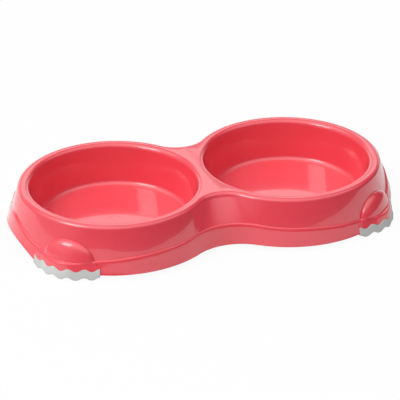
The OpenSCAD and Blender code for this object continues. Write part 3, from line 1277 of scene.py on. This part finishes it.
@dataclass
class Foot:
    """One soft foot: a wavy band in the skirt's recess, a sole under the skirt and two pegs.

    Attributes:
        form: The sizes and outlines it follows.
        material: The soft material it is moulded in.
        node: The solid that it stands for.
        side: Signs in x and y of the corner that it stands under.
        step: Spacing of its samples, in degrees.
        top_round: Rounding of the band's upper edge.
        heel_round: Bevel of the sole's inner edge.
        tip_round: Bevel of the pegs' tips.
        end_draw: How much its two ends draw in.
        end_step: Angle from an end to the next sample.
        end_share: Share of the drawing in that is left at that sample.
        end_gap: Angle from an end to the first full sample.
        sharp: Angle in degrees above which an edge is shaded sharp.
    """

    form: BowlForm
    material: bpy.types.Material
    node: str
    side: tuple[int, int]
    step: float = 0.3
    top_round: float = 0.35
    heel_round: float = 0.3
    tip_round: float = 0.5
    end_draw: float = 0.3
    end_step: float = 0.08
    end_share: float = 0.3
    end_gap: float = 0.25
    sharp: float = 40.0

    def section(self, angle: float, draw: float) -> Array:
        """Gives the foot's section at one angle.

        Args:
            angle: Angle about the well's centre.
            draw: How much the section draws in, which rounds the foot's ends.

        Returns:
            The section's points in order, from the sole's outer edge up and back.
        """
        f = self.form
        a = np.array([angle])
        low, top = float(f.foot_bottom(a)[0]), float(f.foot_top(a)[0])
        skirt, side = float(f.skirt_radius(a)[0]), float(f.side_radius(a, np.array([top]))[0])
        low, top = low + draw, top - draw
        outer = skirt + f.panel + f.band_proud - draw
        lean = (side - skirt) / (top - low)
        edge = outer + lean * (top - low)
        under, heel = f.skirt_gap - f.fit - draw, skirt - f.sole_w + draw
        points = [
            (outer - f.sole_round * (1.0 - sin(t)), low + f.sole_round * (1.0 - cos(t)))
            for t in FINE_TURN
        ]
        for share in SIDE_SHARES:
            z = mix(low + f.sole_round, top - self.top_round, share)
            points.append((outer + lean * (z - low), z))
        points += [
            (edge - self.top_round * (1.0 - cos(t)), top - self.top_round * (1.0 - sin(t)))
            for t in QUARTER_TURN
        ]
        inside = f.panel - f.band_t
        points += [(side + inside, top), (skirt + inside, under), (heel, under)]
        points += [(heel, low + self.heel_round), (heel + self.heel_round, low)]
        turn = radians(angle)
        return np.array([[f.pitch + r * cos(turn), r * sin(turn), z] for r, z in points])

    def corner(self) -> Skin:
        """Puts together the foot of the corner at +X and +Y.

        Returns:
            The foot's skin, with its two pegs.
        """
        f = self.form
        first, last = f.toe_lo + f.step, f.toe_hi - f.step
        full = np.linspace(first + self.end_gap, last - self.end_gap, round((last - first) / self.step))
        nearly = self.end_draw * self.end_share
        stations = [(first, self.end_draw), (first + self.end_step, nearly)]
        stations += [(float(angle), 0.0) for angle in full]
        stations += [(last - self.end_step, nearly), (last, self.end_draw)]
        skin = Skin()
        numbers = skin.strip([self.section(angle, draw) for angle, draw in stations], closed=True)
        for row in (numbers[0], numbers[-1]):
            skin.faces.append(tuple(int(i) for i in row))
        peg_r, root, tip = f.peg_d / 2.0, (f.wave_h + f.skirt_gap) / 2.0, self.tip_round
        for axis in f.peg_places():
            skin.tube(axis, [(peg_r, root), (peg_r, f.peg_top - tip), (peg_r - tip, f.peg_top)])
        return skin

    def build(self) -> bpy.types.Object:
        """Builds the foot, dresses it and puts it in the place of its solid.

        Returns:
            The finished piece.
        """
        made = self.corner().mirrored((self.side,)).build(f"soft_{self.node}", self.sharp)
        made.data.materials.append(self.material)
        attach(made, ROOT)
        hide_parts(self.node)
        return made


@dataclass(frozen=True)
class Lamp:
    """A square soft box that faces the bowl's middle.

    Attributes:
        name: Name of the lamp.
        place: Where it stands, in metres.
        width: Length of its sides, in metres.
        power: Power in watts.
    """

    name: str
    place: tuple[float, float, float]
    width: float
    power: float

    def build(self) -> bpy.types.Object:
        """Hangs the soft box in the scene.

        Returns:
            The new lamp.
        """
        data = bpy.data.lights.new(self.name, "AREA")
        data.shape = "SQUARE"
        data.size = self.width
        data.energy = self.power
        made = bpy.data.objects.new(self.name, data)
        made.location = self.place
        made.rotation_euler = (-Vector(self.place)).to_track_quat("-Z", "Y").to_euler()
        bpy.context.scene.collection.objects.link(made)
        return made


@dataclass(frozen=True)
class Edge:
    """A straight soft edge of a bright zone of the room.

    Attributes:
        towards: Direction in which the zone lies.
        begins: Cosine of the angle to that direction at which the zone begins.
        full: Cosine at which it is at its full strength.
    """

    towards: tuple[float, float, float]
    begins: float
    full: float

    def build(self, tree: Tree, direction: Socket) -> Socket:
        """Adds the edge to the world's nodes.

        Args:
            tree: The world's node tree.
            direction: The direction that is looked at.

        Returns:
            How far inside the edge that direction is, from 0 to 1.
        """
        facing = tree.nodes.new("ShaderNodeVectorMath")
        facing.operation = "DOT_PRODUCT"
        facing.inputs[1].default_value = Vector(self.towards).normalized()
        tree.links.new(direction, facing.inputs[0])
        fade = tree.nodes.new("ShaderNodeMapRange")
        fade.interpolation_type = "SMOOTHSTEP"
        fade.inputs["From Min"].default_value = self.begins
        fade.inputs["From Max"].default_value = self.full
        tree.links.new(facing.outputs["Value"], fade.inputs["Value"])
        return fade.outputs["Result"]


@dataclass(frozen=True)
class Glow:
    """A bright zone of the room round the table, within one or more soft edges.

    Attributes:
        strength: Its full strength.
        edges: The edges that bound it.
    """

    strength: float
    edges: tuple[Edge, ...]

    def build(self, tree: Tree, direction: Socket) -> Socket:
        """Adds the zone to the world's nodes.

        Args:
            tree: The world's node tree.
            direction: The direction that is looked at.

        Returns:
            The zone's strength in that direction.
        """
        fades = [edge.build(tree, direction) for edge in self.edges]
        level = joined(tree, Joining.PRODUCT, fades[0], self.strength)
        for fade in fades[1:]:
            level = joined(tree, Joining.PRODUCT, level, fade)
        return level


@dataclass
class Studio:
    """The white table, the room's light and the camera.

    Attributes:
        lamps: The soft boxes.
        glows: The room's bright zones.
        table_corners: The table's corners in order, in metres.
        table_colour: Grey level of the table.
        table_white: Share of plain white in what the camera sees of the table.
        room_dark: Strength of the rest of the room.
        sensor: Width of the camera's sensor, in millimetres.
        lens: Focal length in millimetres.
        azimuth: Angle from which the camera looks, in degrees.
        elevation: Angle above the table, in degrees.
        target: The point that it looks at, in metres.
        distance: Distance to that point, in metres.
    """

    lamps: tuple[Lamp, ...]
    glows: tuple[Glow, ...]
    table_corners: tuple[tuple[float, float], ...] = (
        (-0.37, -0.04),
        (-0.3, -0.49),
        (0.32, -0.49),
        (0.5, -0.1),
        (0.6, 0.3),
        (2.5, 3.0),
        (-3.0, 3.0),
        (-1.6, 1.2),
    )
    table_colour: float = 0.86
    table_white: float = 0.94
    room_dark: float = 0.01
    sensor: float = 36.0
    lens: float = 203.39
    azimuth: float = -18.076
    elevation: float = 27.735
    target: tuple[float, float, float] = (-0.017477, -0.051143, 0.042)
    distance: float = 1.9698

    def build(self) -> None:
        """Builds the whole studio."""
        for lamp in self.lamps:
            lamp.build()
        self.build_table()
        self.light_room()
        self.place_camera()
        bpy.context.scene.view_settings.view_transform = "Standard"

    def build_table(self) -> None:
        """Lays the table that the bowl stands on."""
        mesh = bpy.data.meshes.new("table")
        corners = [(x, y, 0.0) for x, y in self.table_corners]
        mesh.from_pydata(corners, [], [tuple(range(len(corners)))])
        table = bpy.data.objects.new("table", mesh)
        bpy.context.scene.collection.objects.link(table)
        made = bpy.data.materials.new("white_table")
        made.use_nodes = True
        tree = made.node_tree
        tree.nodes.clear()
        out = tree.nodes.new("ShaderNodeOutputMaterial")
        matt = tree.nodes.new("ShaderNodeBsdfDiffuse")
        matt.inputs["Color"].default_value = (*(self.table_colour,) * 3, 1.0)
        glow = tree.nodes.new("ShaderNodeEmission")
        glow.inputs["Color"].default_value = WHITE
        glow.inputs["Strength"].default_value = 1.0
        seen = tree.nodes.new("ShaderNodeLightPath")
        share = joined(tree, Joining.PRODUCT, seen.outputs["Is Camera Ray"], self.table_white)
        blend = tree.nodes.new("ShaderNodeMixShader")
        tree.links.new(share, blend.inputs["Fac"])
        tree.links.new(matt.outputs["BSDF"], blend.inputs[1])
        tree.links.new(glow.outputs["Emission"], blend.inputs[2])
        tree.links.new(blend.outputs["Shader"], out.inputs["Surface"])
        mesh.materials.append(made)

    def light_room(self) -> None:
        """Lights the room: bright zones over a dark one, and white where the camera looks."""
        world = bpy.data.worlds.new("pale_room")
        bpy.context.scene.world = world
        world.use_nodes = True
        tree = world.node_tree
        tree.nodes.clear()
        out = tree.nodes.new("ShaderNodeOutputWorld")
        where = tree.nodes.new("ShaderNodeTexCoord")
        levels = [glow.build(tree, where.outputs["Generated"]) for glow in self.glows]
        total = joined(tree, Joining.SUM, levels[0], self.room_dark)
        for level in levels[1:]:
            total = joined(tree, Joining.SUM, total, level)
        room = tree.nodes.new("ShaderNodeBackground")
        tree.links.new(total, room.inputs["Strength"])
        white = tree.nodes.new("ShaderNodeBackground")
        white.inputs["Strength"].default_value = 1.0
        for node in (room, white):
            node.inputs["Color"].default_value = WHITE
        seen = tree.nodes.new("ShaderNodeLightPath")
        blend = tree.nodes.new("ShaderNodeMixShader")
        tree.links.new(seen.outputs["Is Camera Ray"], blend.inputs["Fac"])
        tree.links.new(room.outputs["Background"], blend.inputs[1])
        tree.links.new(white.outputs["Background"], blend.inputs[2])
        tree.links.new(blend.outputs["Shader"], out.inputs["Surface"])

    def place_camera(self) -> None:
        """Sets the camera at the photograph's angle."""
        data = bpy.data.cameras.new("camera")
        data.lens = self.lens
        data.sensor_width = self.sensor
        data.clip_start = 0.05
        data.clip_end = 100.0
        az, el = radians(self.azimuth), radians(self.elevation)
        back = Vector((sin(az) * cos(el), -cos(az) * cos(el), sin(el)))
        made = bpy.data.objects.new("camera", data)
        turn = (-back).to_track_quat("-Z", "Y").to_matrix().to_4x4()
        made.matrix_world = Matrix.Translation(Vector(self.target) + back * self.distance) @ turn
        bpy.context.scene.collection.objects.link(made)
        bpy.context.scene.camera = made


# Directions in the room, of which AWAY and NEAR lie along the camera's line over the table
UP = (0.0, 0.0, 1.0)
DOWN = (0.0, 0.0, -1.0)
AWAY = (0.31, 0.95, 0.0)
NEAR = (-0.31, -0.95, 0.0)
REAR_LEFT = (-0.668, 0.744, 0.0)
TO_KEY = (-0.674, -0.167, 0.719)

SOFT_BOXES = (Lamp(name="key_box", place=(-1.41, -0.35, 1.5), width=0.8, power=10.4),)

CEILING = Glow(1.24, (Edge(UP, 0.45, 0.85), Edge(NEAR, -0.6, -0.2)))
KEY_HALO = Glow(0.38, (Edge(TO_KEY, 0.6, 0.95),))
REAR_LEFT_SIDE = Glow(0.37, (Edge(REAR_LEFT, -0.1, 0.4),))
FAR_HIGH_BAND = Glow(1.04, (Edge(AWAY, 0.6, 0.9), Edge(UP, 0.435, 0.455), Edge(DOWN, -0.62, -0.5)))
FAR_LOW_BAND = Glow(0.75, (Edge(AWAY, 0.6, 0.9), Edge(UP, -0.05, 0.02), Edge(DOWN, -0.42, -0.2)))
GLOWS = (CEILING, KEY_HALO, REAR_LEFT_SIDE, FAR_HIGH_BAND, FAR_LOW_BAND)

FEET = (
    ("foot_front_left", (-1, -1)),
    ("foot_front_right", (1, -1)),
    ("foot_rear_left", (-1, 1)),
    ("foot_rear_right", (1, 1)),
)


def main() -> None:
    """Builds the bowl in its studio and reports each piece."""
    logging.basicConfig(level=logging.INFO, format="%(name)s: %(message)s")
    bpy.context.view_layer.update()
    form = BowlForm()
    pieces = [Shell(form, CORAL_GLOSS).build()]
    soft = SOFT_GREY.material()
    for node, side in FEET:
        pieces.append(Foot(form, soft, node, side).build())
    for piece in pieces:
        low, high = piece.bound_box[0], piece.bound_box[6]
        size = ", ".join(f"{(h - s) / MM:.1f}" for s, h in zip(low, high))
        LOG.info("%s: %d faces, %s mm", piece.name, len(piece.data.polygons), size)
    Studio(SOFT_BOXES, GLOWS).build()


if __name__ == "__main__":
    main()
